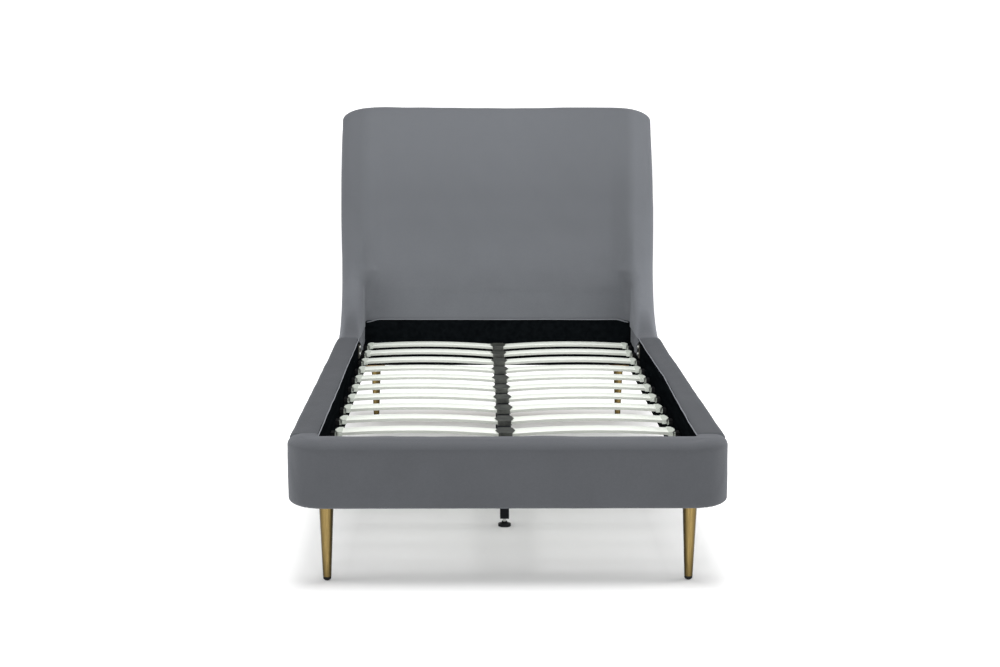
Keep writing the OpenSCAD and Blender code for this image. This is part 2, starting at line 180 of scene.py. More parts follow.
def surface_net(field, xs, ys, zs):
    """Vertices and quads of the surface where field(points) is 0, on a grid of those lines."""
    grid = np.stack(np.meshgrid(xs, ys, zs, indexing="ij"), -1)
    d = field(grid.reshape(-1, 3)).reshape(grid.shape[:3])
    solid = d < 0
    cells = tuple(n - 1 for n in d.shape)
    total, count = np.zeros(cells + (3,)), np.zeros(cells)
    rings = []
    for a in range(3):
        b, c = (a + 1) % 3, (a + 2) % 3
        lower, upper = [slice(None)] * 3, [slice(None)] * 3
        lower[a], upper[a] = slice(0, -1), slice(1, None)
        near = np.argwhere(solid[tuple(lower)] != solid[tuple(upper)])
        far = near.copy()
        far[:, a] += 1
        d0, d1 = d[tuple(near.T)], d[tuple(far.T)]
        t = (d0 / (d0 - d1))[:, None]
        p = grid[tuple(near.T)] * (1 - t) + grid[tuple(far.T)] * t
        ring = []
        for sb, sc in ((-1, -1), (0, -1), (0, 0), (-1, 0)):
            cell = near.copy()
            cell[:, b] += sb
            cell[:, c] += sc
            np.add.at(total, tuple(cell.T), p)
            np.add.at(count, tuple(cell.T), 1)
            ring.append(cell)
        ring = np.stack(ring, 1)
        ring[d0 > 0] = ring[d0 > 0][:, ::-1]
        rings.append(ring)
    used = count > 0
    number = np.cumsum(used.ravel()).reshape(used.shape) - 1
    verts = total[used] / count[used][:, None]
    quads = np.vstack([number[tuple(r.reshape(-1, 3).T)].reshape(-1, 4) for r in rings])
    for _ in range(NET_POLISH):
        way = slope(field, verts)
        size = np.maximum((way ** 2).sum(1), 0.25)
        verts = verts - np.clip(field(verts) / size, -NET_MOVE, NET_MOVE)[:, None] * way
    return verts, quads


def make_mesh(name, verts, faces, smooth=True):
    mesh = bpy.data.meshes.new(name)
    mesh.from_pydata([tuple(v) for v in verts], [], [tuple(int(i) for i in f) for f in faces])
    mesh.validate()
    mesh.update()
    if smooth:
        mesh.polygons.foreach_set("use_smooth", [True] * len(mesh.polygons))
    obj = bpy.data.objects.new(name, mesh)
    bpy.context.scene.collection.objects.link(obj)
    return obj


def lines(low, high, step):
    """Grid lines from low to high, a little beyond both."""
    count = int(round((high - low + 2 * NET_EXTRA) / step)) + 1
    return np.linspace(low - NET_EXTRA, high + NET_EXTRA, count)


def netted(name, field, low, high, step):
    """A cover whose surface is that field's, between two corners, with that step for x, y and z."""
    return make_mesh(name, *surface_net(field, *(lines(low[i], high[i], step[i]) for i in range(3))))


def waves(points, size, seed, count=7):
    """Smooth random unevenness, about -1 to 1, with features of that size in metres."""
    r = np.random.default_rng(seed)
    out = np.zeros(len(points))
    for _ in range(count):
        way = r.normal(size=3)
        way /= np.linalg.norm(way)
        pitch = 2 * math.pi / (size * r.uniform(0.7, 1.5))
        out += np.sin(points @ way * pitch + r.uniform(0, FULL_TURN))
    return out / math.sqrt(count * 2)


def softness(points, *parts):
    """Unevenness of a cover, from waves that each have a height, a size and a seed."""
    return sum(height * waves(points, size, seed) for height, size, seed in parts)


def unevenness(t, size, seed):
    """Small random waves along a line, or along one way of a grid."""
    flat = t.ravel()
    return waves(np.c_[flat, np.zeros((len(flat), 2))], size, seed, 5).reshape(t.shape)


def vertices(obj):
    """The points of an object's mesh, one to a row."""
    co = np.empty(len(obj.data.vertices) * 3, np.float32)
    obj.data.vertices.foreach_get("co", co)
    return co.reshape(-1, 3).astype(float)


def mirrored(points):
    """x without its sign, y and z: the bed's two sides are shaped as one."""
    return np.abs(points[:, 0]), points[:, 1], points[:, 2]


# ---------------------------------------------------------------- materials
class Nodes:
    """A material's node tree, with short calls to add and join nodes."""

    def __init__(self, name):
        self.mat = bpy.data.materials.new(name)
        self.mat.use_nodes = True
        self.tree = self.mat.node_tree
        self.shader = self.tree.nodes["Principled BSDF"]
        self.where = self.add("ShaderNodeTexCoord").outputs["Object"]

    def add(self, kind, **values):
        node = self.tree.nodes.new(kind)
        for key, value in values.items():
            if hasattr(node, key):
                setattr(node, key, value)
            else:
                node.inputs[key.replace("_", " ")].default_value = value
        return node

    def feed(self, value, socket):
        """Joins an output to the socket, or sets the socket to a number or a colour."""
        if isinstance(value, bpy.types.NodeSocket):
            self.tree.links.new(value, socket)
        else:
            socket.default_value = (*value, 1.0) if isinstance(value, tuple) else value

    def split(self, vector, axis):
        node = self.add("ShaderNodeSeparateXYZ")
        self.feed(vector, node.inputs[0])
        return node.outputs[axis]

    def place(self, axis):
        """Where the surface is, along one axis."""
        return self.split(self.where, axis)

    def facing(self, axis):
        """How far the surface faces along one axis, -1 to 1."""
        return self.split(self.add("ShaderNodeNewGeometry").outputs["Normal"], axis)

    def stretched(self, scale):
        """Places for a noise that is drawn out along the axes with a small scale."""
        mapping = self.add("ShaderNodeMapping")
        mapping.inputs["Scale"].default_value = scale
        self.feed(self.where, mapping.inputs["Vector"])
        return mapping.outputs["Vector"]

    def noise(self, scale, detail=3.0, rough=0.5, vector=None, distortion=0.0):
        node = self.add("ShaderNodeTexNoise", Scale=scale, Detail=detail, Roughness=rough,
                        Distortion=distortion)
        self.feed(vector or self.where, node.inputs["Vector"])
        return node.outputs["Fac"]

    def levels(self, value, low, high, to_low=0.0, to_high=1.0):
        """The value's range from low to high, stretched to another range and cut off there."""
        node = self.add("ShaderNodeMapRange")
        ends = {"From Min": low, "From Max": high, "To Min": to_low, "To Max": to_high}
        for key, number in ends.items():
            node.inputs[key].default_value = number
        self.feed(value, node.inputs["Value"])
        return node.outputs["Result"]

    def spread(self, noise, to_low, to_high):
        """A noise's usual range, stretched to another range."""
        return self.levels(noise, 0.3, 0.7, to_low, to_high)

    def mix(self, amount, a, b, blend="MIX"):
        node = self.add("ShaderNodeMix", data_type="RGBA", blend_type=blend)
        for value, number in ((amount, 0), (a, 6), (b, 7)):
            self.feed(value, node.inputs[number])
        return node.outputs[2]

    def times(self, colour, factor):
        """The colour, multiplied by that factor."""
        return self.mix(1.0, colour, factor, "MULTIPLY")

    def maths(self, kind, a, b=0.0):
        node = self.add("ShaderNodeMath", operation=kind)
        self.feed(a, node.inputs[0])
        self.feed(b, node.inputs[1])
        return node.outputs[0]

    def bump(self, height, strength, distance, after=None):
        node = self.add("ShaderNodeBump", Strength=strength, Distance=distance)
        self.feed(height, node.inputs["Height"])
        if after:
            self.feed(after, node.inputs["Normal"])
        return node.outputs["Normal"]

    def set(self, **values):
        for key, value in values.items():
            self.feed(value, self.shader.inputs[key.replace("_", " ")])
        return self.mat


def srgb(r, g, b):
    """Linear colour from 0 to 255 display values."""
    return tuple(c / 12.92 if c <= 0.04045 else ((c + 0.055) / 1.055) ** 2.4
                 for c in (r / 255, g / 255, b / 255))


def scaled(colour, factor):
    """The colour, lighter or darker by that factor."""
    return tuple(c * factor for c in colour)


VELVET_GREY = (103, 105.5, 110)
SHEEN_GREY = (205, 208, 216)
LEVEL_PAINTED_TONE_ENDS = (0.6, 0.9)    # heights between which the level faces' painted tone fades out


def velvet(name, front=1.0, top=None, sheen=0.22, rise=None, turn=(0.55, 0.97), brushing_and_painted_side_light=False):
    """Velvet with painted light: the tone front on upright faces and top on level ones stands in for
    how the light falls on them.

    turn says where between upright, 0, and level, 1, the tone changes. With rise =
    (low, high, gain) it fades between those heights to a plain tone, gain times its own,
    as painted light and shade by height. The last flag adds painted light and shade:
    darker towards the face's right end and on the left wing, and lighter on the right wing.
    """
    m = Nodes(name)
    base = scaled(srgb(*VELVET_GREY), front)
    # brushed patches of nap, faint upright streaks, mottling and fine pile
    patches = m.noise(5.5, 3.0, 0.55)
    streaks = m.noise(34.0, 3.0, 0.6, m.stretched((1.0, 1.0, 0.45)), 0.4)
    pile = m.noise(1300.0, 2.0, 0.7)
    mottle = m.noise(150.0, 3.0, 0.65)
    tone = m.maths("ADD", m.levels(patches, 0.35, 0.65, 0.0, 0.4), m.spread(streaks, 0.0, 0.25))
    tone = m.maths("ADD", tone, m.spread(mottle, 0.0, 0.35))
    colour = m.mix(tone, scaled(base, 0.90), scaled(base, 1.09))
    colour = m.mix(m.spread(pile, 0.0, 0.3), colour, scaled(base, 0.6))
    if rise:
        # painted light and shade by height: between low and high the tone fades to a plain one, gain
        # times the base
        low, high, gain = rise
        colour = m.mix(m.levels(m.place("Z"), low, high), colour, scaled(base, gain))
    if brushing_and_painted_side_light:
        # painted shade towards the face's right end and on the left wing, painted light on the right
        # wing
        across = m.place("X")
        colour = m.times(colour, m.levels(across, 0.05, X_IN - 0.05, 1.0, 0.93))
        colour = m.times(colour, m.levels(across, X_IN - 0.02, X_IN + 0.012, 1.0, 1.17))
        colour = m.times(colour, m.levels(across, -X_IN - 0.012, -X_IN + 0.03, 0.90, 1.0))
    if top:
        # painted light and shade: level faces get their own tone, top against front, standing in for
        # how the light falls on them
        level = m.levels(m.facing("Z"), *turn, 1.0, top / front)
        # above those heights the level faces' painted tone fades out
        if rise:
            level = m.mix(m.levels(m.place("Z"), *LEVEL_PAINTED_TONE_ENDS), level, (1.0, 1.0, 1.0))
        colour = m.times(colour, level)
    nap = m.bump(mottle, 0.3, 0.0008, m.bump(pile, 0.4, 0.0006))
    return m.set(Base_Color=colour, Roughness=m.spread(streaks, 0.8, 0.92), Normal=nap,
                 Sheen_Weight=sheen, Sheen_Roughness=0.5, Sheen_Tint=srgb(*SHEEN_GREY),
                 Specular_IOR_Level=0.15)


def black_board():
    m = Nodes("painted_black_board")
    grain = m.noise(60.0, 4.0, 0.6, m.stretched((1.0, 0.12, 1.0)))
    specks = m.noise(900.0, 2.0, 0.5)
    colour = m.mix(m.levels(grain, 0.35, 0.7), srgb(7, 9, 11), srgb(15, 18, 20))
    return m.set(Base_Color=colour, Roughness=m.spread(specks, 0.86, 0.98),
                 Normal=m.bump(m.maths("ADD", grain, specks), 0.25, 0.0006),
                 Specular_IOR_Level=0.0)


def birch():
    """Bent plywood: a pale veneer on its faces and plies along its edges."""
    m = Nodes("birch_slat")
    grain = m.noise(95.0, 5.0, 0.62, m.stretched((0.16, 1.0, 1.0)), 0.8)
    pores = m.noise(700.0, 2.0, 0.6, m.stretched((0.06, 1.0, 1.0)))
    plies = m.add("ShaderNodeTexWave", wave_type="BANDS", bands_direction="Z", Scale=320.0,
                  Distortion=0.6)
    m.feed(m.where, plies.inputs["Vector"])
    face = m.mix(m.levels(grain, 0.35, 0.7), srgb(246, 250, 243), srgb(235, 240, 230))
    face = m.mix(m.levels(pores, 0.55, 0.75, 0.0, 0.3), face, srgb(206, 206, 190))
    side = m.mix(plies.outputs["Fac"], srgb(206, 209, 201), srgb(168, 172, 164))
    edge = m.levels(m.maths("ABSOLUTE", m.facing("Y")), 0.75, 0.9)
    return m.set(Base_Color=m.mix(edge, face, side), Roughness=m.spread(grain, 0.45, 0.62),
                 Normal=m.bump(grain, 0.18, 0.0005), Coat_Weight=0.15, Coat_Roughness=0.35)


def cap_plastic():
    m = Nodes("dark_cap_plastic")
    mottle = m.noise(380.0, 3.0, 0.6)
    flow = m.noise(40.0, 2.0, 0.5)
    both = m.levels(m.maths("ADD", mottle, flow), 0.75, 1.25)
    return m.set(Base_Color=m.mix(both, srgb(30, 32, 30), srgb(78, 81, 75)),
                 Roughness=m.spread(flow, 0.42, 0.6), Normal=m.bump(mottle, 0.2, 0.0004),
                 Specular_IOR_Level=0.45)


def holder_plastic():
    """Pale mottled sleeves, black over the last 12 mm beside the boards."""
    m = Nodes("slat_holder_plastic")
    mottle = m.noise(380.0, 3.0, 0.6)
    base = m.levels(m.maths("ABSOLUTE", m.place("X")), X_IN - 0.0125, X_IN - 0.0115)
    sleeve = m.mix(m.levels(mottle, 0.35, 0.7), srgb(186, 192, 182), srgb(222, 228, 219))
    return m.set(Base_Color=m.mix(base, sleeve, srgb(16, 17, 18)),
                 Roughness=m.spread(mottle, 0.45, 0.62), Normal=m.bump(mottle, 0.2, 0.0004),
                 Specular_IOR_Level=0.15)


def powder_coat(name, colour, rough):
    m = Nodes(name)
    orange = m.noise(650.0, 2.0, 0.5)
    wear = m.noise(18.0, 4.0, 0.65)
    worn = srgb(*(c * 1.35 + 6 for c in colour))
    return m.set(Base_Color=m.mix(m.levels(wear, 0.4, 0.7), srgb(*colour), worn),
                 Roughness=m.spread(wear, rough - 0.08, rough + 0.1),
                 Normal=m.bump(orange, 0.3, 0.0004), Specular_IOR_Level=0.08)


def metal(name, colour, along, rough, sides=None):
    """Brushed metal; with sides, its faces turned to left and right get painted shade, darkened to
    that part, standing in for dark reflections.
    """
    m = Nodes(name)
    brushing_and_painted_side_light = m.noise(300.0, 3.0, 0.6, m.stretched(along))
    stain = m.noise(14.0, 3.0, 0.6)
    darker = scaled(colour, 0.82)
    tint = m.mix(m.spread(brushing_and_painted_side_light, 0.0, 1.0), srgb(*darker), srgb(*colour))
    tint = m.mix(m.levels(stain, 0.45, 0.7, 0.0, 0.25), tint, srgb(*scaled(darker, 0.9)))
    if sides:
        # painted shade: faces turned to left and right are darkened in place of dark reflections
        side_facing_shade = m.maths("ABSOLUTE", m.facing("X"))
        tint = m.times(tint, m.levels(side_facing_shade, 0.25, 0.85, 1.0, sides))
    return m.set(Base_Color=tint, Metallic=1.0, Normal=m.bump(brushing_and_painted_side_light, 0.12, 0.0003),
                 Roughness=m.spread(brushing_and_painted_side_light, rough - 0.06, rough + 0.1))


def timber():
    m = Nodes("frame_timber")
    rings = m.noise(42.0, 5.0, 0.6, m.stretched((1.0, 1.0, 0.14)), 1.2)
    colour = m.mix(m.levels(rings, 0.35, 0.68), srgb(214, 184, 140), srgb(176, 138, 92))
    return m.set(Base_Color=colour, Roughness=m.spread(rings, 0.62, 0.8),
                 Normal=m.bump(rings, 0.3, 0.001))


UPRIGHT_GRAIN = (1.0, 1.0, 0.3)

FINISH = {
    "velvet": velvet("grey_velvet"),
    "timber": timber(),
    "black_board": black_board(),
    "birch": birch(),
    "holder_plastic": holder_plastic(),
    "cap_plastic": cap_plastic(),
    "black_steel": powder_coat("black_steel", (14, 16, 19), 0.6),
    "zinc_steel": metal("zinc_steel", (206, 208, 204), UPRIGHT_GRAIN, 0.32),
    "gold_metal": metal("brushed_gold", (145, 124, 78), (1.0, 1.0, 0.05), 0.22, sides=0.28),
    "glide_rubber": powder_coat("black_rubber", (22, 22, 22), 0.7),
    "foot_plastic": powder_coat("black_foot_plastic", (24, 25, 26), 0.5),
}
# lit and shaded copies of one velvet: their front and top tones are painted light and shade, the
# headboard's lightest and the foot rail's front darkest
HEAD_VELVET_PAINTED_LIGHT = velvet("grey_velvet_head_painted_light", 1.00, 0.62, rise=(0.5, 0.85, 0.75), turn=(0.70, 0.99),
                  brushing_and_painted_side_light=True)
RAIL_VELVET_PAINTED_SHADE = velvet("grey_velvet_rail_painted_shade", 0.72, 0.53, sheen=0.10)
FOOT_VELVET_PAINTED_SHADE = velvet("grey_velvet_foot_painted_shade", 0.48, 0.61)
# a lighter copy for the hems, a painted highlight along their cords
HEM_VELVET_PAINTED_HIGHLIGHT = velvet("grey_velvet_hem_painted_highlight", 1.35, sheen=0.35)

# width of the eased edges of the sawn, moulded and bent parts
EDGES = {
    "birch": 0.0012,
    "holder_plastic": 0.0012,
    "cap_plastic": 0.0015,
    "black_board": 0.001,
    "timber": 0.0015,
}


def ease_edges(obj, width):
    """Rounds a CAD node's hard edges with modifiers; its own mesh stays as it is."""
    if "custom_normal" in obj.data.attributes:
        obj.data.attributes.remove(obj.data.attributes["custom_normal"])
    weld = obj.modifiers.new("weld", "WELD")
    weld.merge_threshold = 0.00002
    bevel = obj.modifiers.new("eased_edges", "BEVEL")
    bevel.width, bevel.segments, bevel.limit_method = width, 2, "ANGLE"
    bevel.angle_limit = math.radians(38)


for part in frame["record"]["subparts"]:
    node, kind = frame["nodes"][part["node"]], part["material_slot"]
    node.data.materials.clear()
    node.data.materials.append(FINISH[kind])
    if kind in EDGES:
        ease_edges(node, EDGES[kind])

# the joint plates are duller than the bolts
joint_plates = frame["nodes"]["rail_brackets"].data.materials
joint_plates[0] = metal("dull_zinc", (84, 82, 76), UPRIGHT_GRAIN, 0.5)


# ---------------------------------------------------------------- headboard and wings
# side outlines, as distance behind the head panel's face and height
ROLL = curve([0, Z_TOP - 0.166], [0.020, Z_TOP - 0.126], [0.060, Z_TOP], [0.108, Z_TOP])
ROLL_HALF = 8    # the face joins the roll at this point of its curve
BACK_CORNER = arc((HEAD_T - 0.037, Z_TOP - 0.037), 0.037, 90, 0)
Z_FULL = Z_RAIL + 0.236    # where the wings are fullest
SWEEP = curve([-WING_REACH, Z_RAIL], [-0.190, Z_RAIL + 0.006],
              [-WING_PROUD - 0.010, Z_RAIL + 0.096], [-WING_PROUD, Z_FULL])
RISE = curve([-WING_PROUD, Z_FULL], [-WING_PROUD + 0.004, Z_TOP - 0.416],
             [-WING_PROUD + 0.014, Z_TOP - 0.266], ROLL[0])
LEAN = curve([0, Z_TOP - 0.296], [0, Z_TOP - 0.196], [0.0119, Z_TOP - 0.1304],
             ROLL[ROLL_HALF - 1])
FRONT_LINE = np.vstack([SWEEP, RISE[1:], ROLL[1:]])    # front of the wings
FACE_LINE = np.vstack([LEAN, ROLL[ROLL_HALF:]])        # front of the face between them

BEYOND = 0.08    # the outlines run on past the cuts, so that each cut has its own rounding
HEEL = [[HEAD_T, Z_LOW - BEYOND]]
TOE = [[-WING_REACH - BEYOND, Z_LOW - BEYOND], [-WING_REACH - BEYOND, Z_RAIL]]
wing_shape = Outline([TOE, FRONT_LINE, BACK_CORNER[1:], HEEL])
face_shape = Outline([[[0, Z_LOW - BEYOND]], FACE_LINE, BACK_CORNER[1:], HEEL])


def headboard_field(p):
    """Wings and padded face with the roll on top, in one cover."""
    # the headboard leans a little to the left with its height
    x, y, z = mirrored(p + ramp(p[:, 2], Z_HEM, Z_TOP)[:, None] * (0.004, 0.0, 0.0))
    u = y - Y_HEAD
    beside = X_IN - x
    middle = np.exp(-(p[:, 0] / 0.20) ** 2)
    z_sag = z + ramp(z, Z_TOP - 0.25, Z_TOP - 0.05) * TOP_SAG * middle
    soft = softness(p, (0.0022, 0.34, 11), (0.0009, 0.11, 12))
    # the foam swells forward between the hem and the roll
    swell = HEAD_SWELL * ramp(z, Z_HEM - 0.03, Z_HEM + 0.26) * ramp(z, Z_TOP - 0.10, Z_TOP - 0.42)
    # how far the wing stands before the face, less towards the back
    face_u = np.interp(z, FACE_LINE[:, 1], FACE_LINE[:, 0]) - swell
    proud = face_u - np.interp(z, FRONT_LINE[:, 1], FRONT_LINE[:, 0])
    proud = proud * ramp(u, 0.10, 0.04)
    # above, the face comes forward to the wing in a slow wave, so that less is left of the step
    wave = np.maximum(proud, 0) * ramp(z, Z_HEM + 0.10, Z_HEM + 0.36)
    proud = proud - wave
    face = face_shape(u + swell + wave * ramp(beside, 0.085, -0.004), z_sag)
    face = face - soft * ramp(beside, -0.02, 0.10)
    face = smax(face, Z_HEM - HEM_DIP * ramp(beside, 0.055, 0.002) - z, 0.009)
    # the face turns forward into the wing; the wing's own outline limits both
    fillet = np.clip(2.2 * proud, 0.002, 0.022 + 0.070 * ramp(z, Z_HEM + 0.04, Z_HEM + 0.28))
    fillet = 0.002 + (fillet - 0.002) * ramp(z, Z_HEM - 0.006, Z_HEM + 0.04)
    wing = wing_shape(u, z_sag) - 0.5 * soft
    # the wing's front edge is round above and flattens out into the rail
    edge = np.clip(0.9 * proud, 0.001, 0.034)
    level = ramp(u, -0.17, -0.30)
    depth, width = (edge + (soft_edge - edge) * level for soft_edge in RAIL_SOFT)
    both = oval_max(wing, smin(face, beside, fillet), depth, width)
    sides = oval_max(z_sag - Z_TOP - 0.008, x - X_OUT + 0.001, 0.058, 0.205)
    both = smax(both - 0.0015 + SLACK, sides, 0.034 - 0.022 * ramp(u, 0.05, 0.11))
    both = smax(both, Z_LOW + UNDER - z, 0.008)
    both = smax(both, Y_WING + 0.0003 - y, 0.002)
    # room for the side boards, and for the timber frame behind the foam
    board = np.minimum(X_BOARD - x, Z_BOARD - LIP - z)
    board = np.minimum(board, Y_BACK_PANEL + 0.0005 - y)
    timber_frame = np.minimum(np.minimum(X_IN - 0.001 - x, u - FOAM), Z_FRAME - 0.045 - z)
    return np.maximum(np.maximum(both, board), timber_frame)


def back_field(p):
    """The headboard's back, tight over its frame."""
    x, y, z = mirrored(p)
    soft = softness(p, (0.0016, 0.30, 41)) * ramp(x, X_IN, X_IN - 0.1)
    d = smax(x - X_IN + 0.002, y - Y_BACK + 0.0008 - soft, 0.004)
    d = smax(d, smax(z - Z_FRAME + 0.002, Z_LOW + UNDER - z, 0.004), 0.004)
    return smax(d, Y_BACK_PANEL + 0.0005 - y, 0.002)


# ---------------------------------------------------------------- rails
def rail_edge(x, y):
    """Where a side rail's cover ends over its board; the right one is drawn outwards."""
    bow = RAIL_BOW * np.exp(-((y + 0.12) / 0.38) ** 2)
    return X_IN + SHORT + np.where(x > 0, bow, 0.0)


def side_rail_field(p):
    x, y, z = mirrored(p)
    soft = softness(p, (0.0007, 0.30, 21), (0.0004, 0.09, 22))
    d = oval_max(z - Z_RAIL, x - X_OUT, 0.013, 0.018) - soft + SLACK
    d = oval_max(d, rail_edge(p[:, 0], y) - x, *RAIL_SOFT)
    d = smax(d, Z_LOW + UNDER - z, 0.008)
    d = np.maximum(d, y - Y_WING - 0.008)
    d = smax(d, Y_RETURN + GAP - y, 0.006)
    return np.maximum(d, np.minimum(X_BOARD - x, Z_BOARD - LIP - z))


def foot_rail_field(p):
    x, y, z = mirrored(p)
    soft = softness(p, (0.0014, 0.28, 31), (0.0005, 0.09, 32))
    qx, qy = x - (X_OUT - FOOT_R), (Y_FRONT + FOOT_R) - y
    corner = np.hypot(np.maximum(qx, 0), np.maximum(qy, 0))
    plan = corner + np.minimum(np.maximum(qx, qy), 0) - FOOT_R
    # few hollows here, and a little more fill over the corner blocks close under the cover
    over_block = 0.0024 * ramp(np.hypot(x - X_BOARD, y - Y_FRONT - 0.028), 0.055, 0.010)
    d = oval_max(z - Z_RAIL, plan, 0.021, 0.040) - np.maximum(soft, -0.0006) - over_block
    d = oval_max(d, smin(X_IN + SHORT - x, y - Y_FOOT + SHORT, 0.015), 0.005, 0.012)
    d = smax(d, Z_LOW + UNDER - z, 0.009)
    d = smax(d, y - Y_RETURN + GAP, 0.006)
    boards = np.minimum(X_BOARD - x, y - Y_FOOT + BOARD_T)
    return np.maximum(d, np.minimum(boards, Z_BOARD - LIP - z))


# ---------------------------------------------------------------- covers
def dress(obj, finish):
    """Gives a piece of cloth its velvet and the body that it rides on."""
    obj.data.materials.clear()
    obj.data.materials.append(finish)
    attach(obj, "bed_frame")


head_cover = netted("headboard_cover", headboard_field, (-X_OUT, Y_WING, Z_LOW),
                    (X_OUT, Y_BACK, Z_TOP), (0.008, 0.008, 0.008))
back_cover = netted("headboard_back_cover", back_field, (-X_IN, Y_BACK_PANEL, Z_LOW),
                    (X_IN, Y_BACK, Z_FRAME), (0.016, 0.003, 0.016))
foot_cover = netted("foot_rail_cover", foot_rail_field, (-X_OUT, Y_FRONT, Z_LOW),
                    (X_OUT, Y_RETURN, Z_RAIL), (0.006, 0.006, 0.006))
rail_covers = {}
for side, low, high in (("left", -X_OUT, -X_IN), ("right", X_IN, X_OUT)):
    rail_covers[side] = netted(f"side_rail_cover_{side}", side_rail_field, (low, Y_RETURN, Z_LOW),
                               (high, Y_WING + 0.010, Z_RAIL), (0.005, 0.010, 0.005))

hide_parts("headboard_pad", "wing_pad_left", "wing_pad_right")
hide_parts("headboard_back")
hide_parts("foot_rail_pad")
for side, cover in rail_covers.items():
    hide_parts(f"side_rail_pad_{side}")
for cover in (head_cover, back_cover):
    dress(cover, HEAD_VELVET_PAINTED_LIGHT)
for cover in rail_covers.values():
    dress(cover, RAIL_VELVET_PAINTED_SHADE)
dress(foot_cover, FOOT_VELVET_PAINTED_SHADE)


# ---------------------------------------------------------------- cloth
def evened(mesh, move):
    """The moves of a mesh's points, evened out between neighbours."""
    ends = np.empty(len(mesh.edges) * 2, np.int32)
    mesh.edges.foreach_get("vertices", ends)
    one, other = ends.reshape(-1, 2).T
    share = np.maximum(np.bincount(ends, minlength=len(move)), 1)[:, None]
    for _ in range(EVEN_PASSES):
        near = np.zeros_like(move)
        np.add.at(near, one, move[other])
        np.add.at(near, other, move[one])
        move = 0.4 * move + 0.6 * near / share
    return move


def settle(cover, held, most):
    """Cloth simulation: the cover swells by at most that much, and stays put where held is 1."""
    start = vertices(cover)
    group = cover.vertex_groups.new(name="held")
    tenths = np.rint(np.clip(held, 0, 1) * 10).astype(int)
    for tenth in range(11):
        group.add(np.flatnonzero(tenths == tenth).tolist(), tenth / 10, "REPLACE")
    cloth = cover.modifiers.new("settle", "CLOTH")
    cloth.settings.quality = 3
    cloth.settings.vertex_group_mass = "held"
    cloth.settings.use_pressure = True
    cloth.settings.uniform_pressure_force = CLOTH_PRESSURE
    cloth.settings.effector_weights.gravity = 0
    cloth.point_cache.frame_end = CLOTH_STEPS
    for step in range(1, CLOTH_STEPS + 1):
        bpy.context.scene.frame_set(step)
    result = cover.evaluated_get(bpy.context.evaluated_depsgraph_get()).to_mesh()
    after = np.empty(len(start) * 3, np.float32)
    result.vertices.foreach_get("co", after)
    cover.modifiers.remove(cloth)
    cover.vertex_groups.remove(group)
    bpy.context.scene.frame_set(1)
    move = after.reshape(-1, 3) - start
    size = np.linalg.norm(move, axis=1)
    move = move * (np.minimum(size, most) / np.maximum(size, 1e-9))[:, None]
    places = start + evened(cover.data, move)
    cover.data.vertices.foreach_set("co", places.astype(np.float32).ravel())
    cover.data.update()
    raw_swell = round(float(size.mean()) * 1000, 2)
    print("settled", cover.name, len(start), "points by", raw_swell, "mm", flush=True)


def underside_held(z):
    """Every cover is stapled along the underside."""
    return ramp(z, Z_LOW + 0.03, Z_LOW + 0.005)


def side_rail_held(cover):
    x, y, z = mirrored(vertices(cover))
    inner = ramp(x, X_BOARD + 0.004, X_IN + 0.012)
    head_end = ramp(y, Y_WING - 0.06, Y_WING - 0.01)
    foot_end = ramp(y, Y_RETURN + 0.05, Y_RETURN + 0.01)
    return np.maximum.reduce([inner, head_end, foot_end, underside_held(z)])


def foot_rail_held(cover):
    x, y, z = mirrored(vertices(cover))
    beside = ramp(x, X_BOARD + 0.004, X_IN + 0.004)
    behind = ramp(y, Y_FOOT - BOARD_T - 0.004, Y_FOOT - 0.004)
    ends = ramp(y, Y_RETURN - 0.04, Y_RETURN - 0.008)
    return np.maximum.reduce([np.minimum(beside, behind), ends, underside_held(z)])


def headboard_held(cover):
    x, y, z = mirrored(vertices(cover))
    u = y - Y_HEAD
    board = np.minimum(ramp(x, X_BOARD + 0.012, X_BOARD + 0.004),
                       ramp(z, Z_BOARD + 0.03, Z_BOARD + 0.008))
    frame_side = ramp(x, X_IN + 0.010, X_IN) * ramp(z, Z_FRAME, Z_FRAME - 0.03)
    behind = ramp(u, FOAM - 0.02, FOAM - 0.006) * frame_side
    hem = ramp(z, Z_HEM + 0.17, Z_HEM + 0.010) * ramp(x, X_IN + 0.002, X_IN - 0.002)
    fold = ramp(np.abs(x - X_IN), 0.06, 0.01) * ramp(z, Z_HEM + 0.45, Z_HEM + 0.10)
    rail_seam = ramp(u, 0.06 - WING_REACH, 0.015 - WING_REACH)
    back_seam = ramp(u, HEAD_T - 0.03, HEAD_T - 0.005)
    return np.maximum.reduce([board, behind, hem, fold, rail_seam, back_seam, underside_held(z)])


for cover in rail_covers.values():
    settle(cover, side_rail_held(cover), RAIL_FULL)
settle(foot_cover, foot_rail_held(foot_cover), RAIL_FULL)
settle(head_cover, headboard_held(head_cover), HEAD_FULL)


# ---------------------------------------------------------------- hems
def tube(name, x, y, z, radius, across=8):
    """A closed round cord of cloth along a path of points."""
    path = np.c_[x, y, z]
    along = np.gradient(path, axis=0)
    along /= np.linalg.norm(along, axis=1)[:, None]
    side = np.cross(along, [0.0, 0.0, 1.0])
    side /= np.linalg.norm(side, axis=1)[:, None]
    up = np.cross(side, along)
    turn = np.arange(across) * 2 * math.pi / across
    ring = np.cos(turn)[None, :, None] * side[:, None] + np.sin(turn)[None, :, None] * up[:, None]
    verts = np.vstack([(path[:, None] + radius * ring).reshape(-1, 3), path[:1], path[-1:]])
    faces = []
    for first in range(0, (len(path) - 1) * across, across):
        for j in range(across):
            k = (j + 1) % across
            faces.append((first + j, first + k, first + across + k, first + across + j))
    last = (len(path) - 1) * across
    for j in range(across):
        k = (j + 1) % across
        faces.append((len(verts) - 2, k, j))
        faces.append((len(verts) - 1, last + j, last + k))
    return make_mesh(name, verts, faces)


